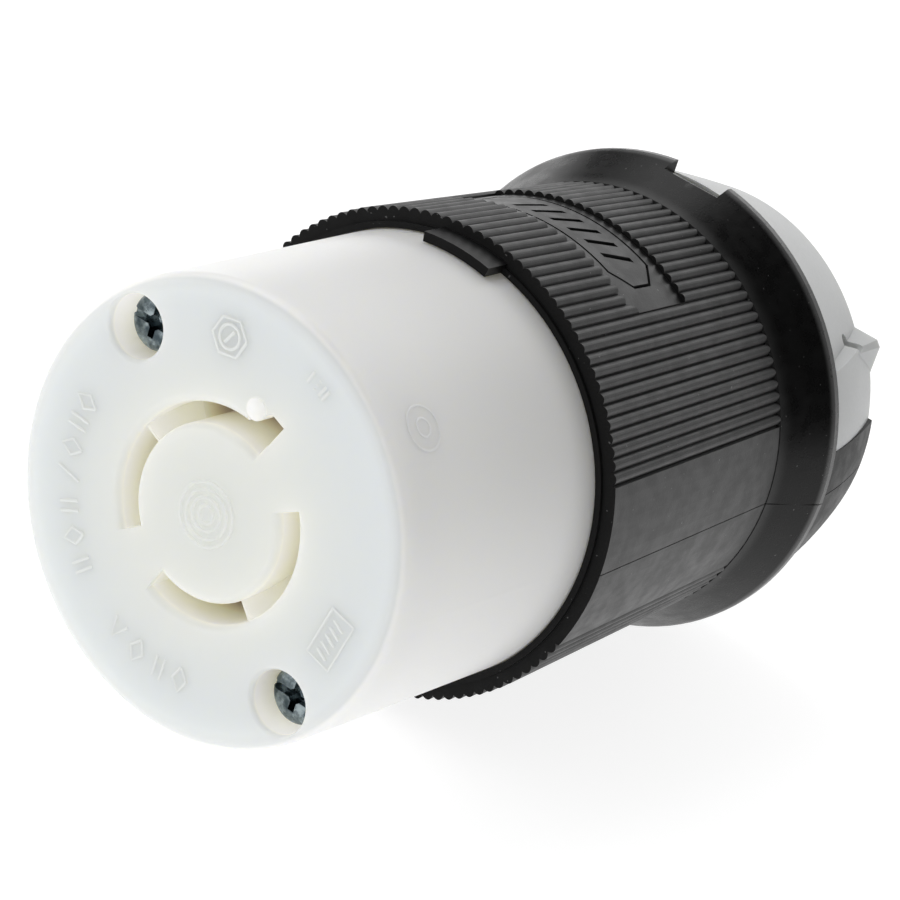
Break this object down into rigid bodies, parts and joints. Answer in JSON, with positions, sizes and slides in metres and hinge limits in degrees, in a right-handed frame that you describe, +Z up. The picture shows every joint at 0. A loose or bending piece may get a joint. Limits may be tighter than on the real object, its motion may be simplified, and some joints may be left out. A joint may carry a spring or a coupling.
{
  "type": "locking cord connector body",
  "caption": "Round cord connector body with curved locking slots in a white face, a ribbed black housing and a screw cord clamp behind a flange.",
  "frame": {"origin": "centre of the mating face, on the body's axis", "axes": "+Y along the body's axis from the mating face to the cord's exit, +Z up through the label panel and the moving clamp jaw"},
  "size_m": [0.0598, 0.0993, 0.0596],
  "materials": {
    "white_nylon": "satin moulded nylon",
    "black_nylon": "fine moulded grain",
    "jaw_nylon": "satin moulded nylon",
    "retainer_plastic": "matt",
    "contact_brass": "stamped",
    "insert_brass": "turned",
    "clamp_steel": "zinc plated",
    "screw_steel": "zinc plated",
    "ground_screw_steel": "green finish"
  },
  "bodies": {
    "front": {"front_body": "white_nylon", "contact_retainer": "retainer_plastic", "contact_line_z": "contact_brass", "contact_ground": "contact_brass", "contact_line_x": "contact_brass", "contact_line_y": "contact_brass"},
    "terminal_clamp_line_z": {"terminal_clamp_line_z": "clamp_steel"},
    "terminal_screw_line_z": {"terminal_screw_line_z": "screw_steel"},
    "terminal_clamp_ground": {"terminal_clamp_ground": "clamp_steel"},
    "terminal_screw_ground": {"terminal_screw_ground": "ground_screw_steel"},
    "terminal_clamp_line_x": {"terminal_clamp_line_x": "clamp_steel"},
    "terminal_screw_line_x": {"terminal_screw_line_x": "screw_steel"},
    "terminal_clamp_line_y": {"terminal_clamp_line_y": "clamp_steel"},
    "terminal_screw_line_y": {"terminal_screw_line_y": "screw_steel"},
    "assembly_screw_upper": {"assembly_screw_upper": "screw_steel"},
    "assembly_screw_lower": {"assembly_screw_lower": "screw_steel"},
    "housing": {"housing": "black_nylon", "housing_inserts": "insert_brass"},
    "jaw": {"clamp_jaw": "jaw_nylon", "clamp_nuts": "insert_brass"},
    "clamp_screw_left": {"clamp_screw_left": "screw_steel"},
    "clamp_screw_right": {"clamp_screw_right": "screw_steel"}
  },
  "joints": [
    {"name": "terminal_clamp_line_z_slide", "type": "slide", "parent": "front", "child": "terminal_clamp_line_z", "axis": [-0.9962, 0, -0.0872], "range_m": [0, 0.0044]},
    {"name": "terminal_screw_line_z_turn", "type": "hinge", "parent": "terminal_clamp_line_z", "child": "terminal_screw_line_z", "pos_m": [0.02012, 0.0476, 0.00176], "axis": [-0.9962, 0, -0.0872], "range_deg": [0, 1996]},
    {"name": "terminal_clamp_ground_slide", "type": "slide", "parent": "front", "child": "terminal_clamp_ground", "axis": [0.0872, 0, -0.9962], "range_m": [0, 0.0044]},
    {"name": "terminal_screw_ground_turn", "type": "hinge", "parent": "terminal_clamp_ground", "child": "terminal_screw_ground", "pos_m": [-0.00176, 0.0476, 0.02012], "axis": [0.0872, 0, -0.9962], "range_deg": [0, 1996]},
    {"name": "terminal_clamp_line_x_slide", "type": "slide", "parent": "front", "child": "terminal_clamp_line_x", "axis": [0.9962, 0, 0.0872], "range_m": [0, 0.0044]},
    {"name": "terminal_screw_line_x_turn", "type": "hinge", "parent": "terminal_clamp_line_x", "child": "terminal_screw_line_x", "pos_m": [-0.02012, 0.0476, -0.00176], "axis": [0.9962, 0, 0.0872], "range_deg": [0, 1996]},
    {"name": "terminal_clamp_line_y_slide", "type": "slide", "parent": "front", "child": "terminal_clamp_line_y", "axis": [-0.0872, 0, 0.9962], "range_m": [0, 0.0044]},
    {"name": "terminal_screw_line_y_turn", "type": "hinge", "parent": "terminal_clamp_line_y", "child": "terminal_screw_line_y", "pos_m": [0.00176, 0.0476, -0.02012], "axis": [-0.0872, 0, 0.9962], "range_deg": [0, 1996]},
    {"name": "assembly_screw_upper_turn", "type": "hinge", "parent": "front", "child": "assembly_screw_upper", "pos_m": [-0.01565, 0.006, 0.01459], "axis": [0, -1, 0], "range_deg": [0, 3960]},
    {"name": "assembly_screw_lower_turn", "type": "hinge", "parent": "front", "child": "assembly_screw_lower", "pos_m": [0.01565, 0.006, -0.01459], "axis": [0, -1, 0], "range_deg": [0, 3960]},
    {"name": "housing_slide", "type": "slide", "parent": "front", "child": "housing", "axis": [0, 1, 0], "range_m": [0, 0.065]},
    {"name": "clamp_screw_left_turn", "type": "hinge", "parent": "housing", "child": "clamp_screw_left", "pos_m": [-0.018, 0.0908, -0.0095], "axis": [0, 0, -1], "range_deg": [0, 2268]},
    {"name": "clamp_screw_right_turn", "type": "hinge", "parent": "housing", "child": "clamp_screw_right", "pos_m": [0.018, 0.0908, -0.0095], "axis": [0, 0, -1], "range_deg": [0, 2268]},
    {"name": "clamp_jaw_slide", "type": "slide", "parent": "housing", "child": "jaw", "axis": [0, 0, 1], "range_m": [0, 0.005]}
  ],
  "couplings": [
    {"joint": "terminal_screw_line_z_turn", "follows": "terminal_clamp_line_z_slide", "rad_per_m": 7913.3},
    {"joint": "terminal_screw_ground_turn", "follows": "terminal_clamp_ground_slide", "rad_per_m": 7913.3},
    {"joint": "terminal_screw_line_x_turn", "follows": "terminal_clamp_line_x_slide", "rad_per_m": 7913.3},
    {"joint": "terminal_screw_line_y_turn", "follows": "terminal_clamp_line_y_slide", "rad_per_m": 7913.3},
    {"joint": "clamp_screw_left_turn", "follows": "clamp_jaw_slide", "rad_per_m": 7913.3},
    {"joint": "clamp_screw_right_turn", "follows": "clamp_jaw_slide", "rad_per_m": 7913.3}
  ]
}
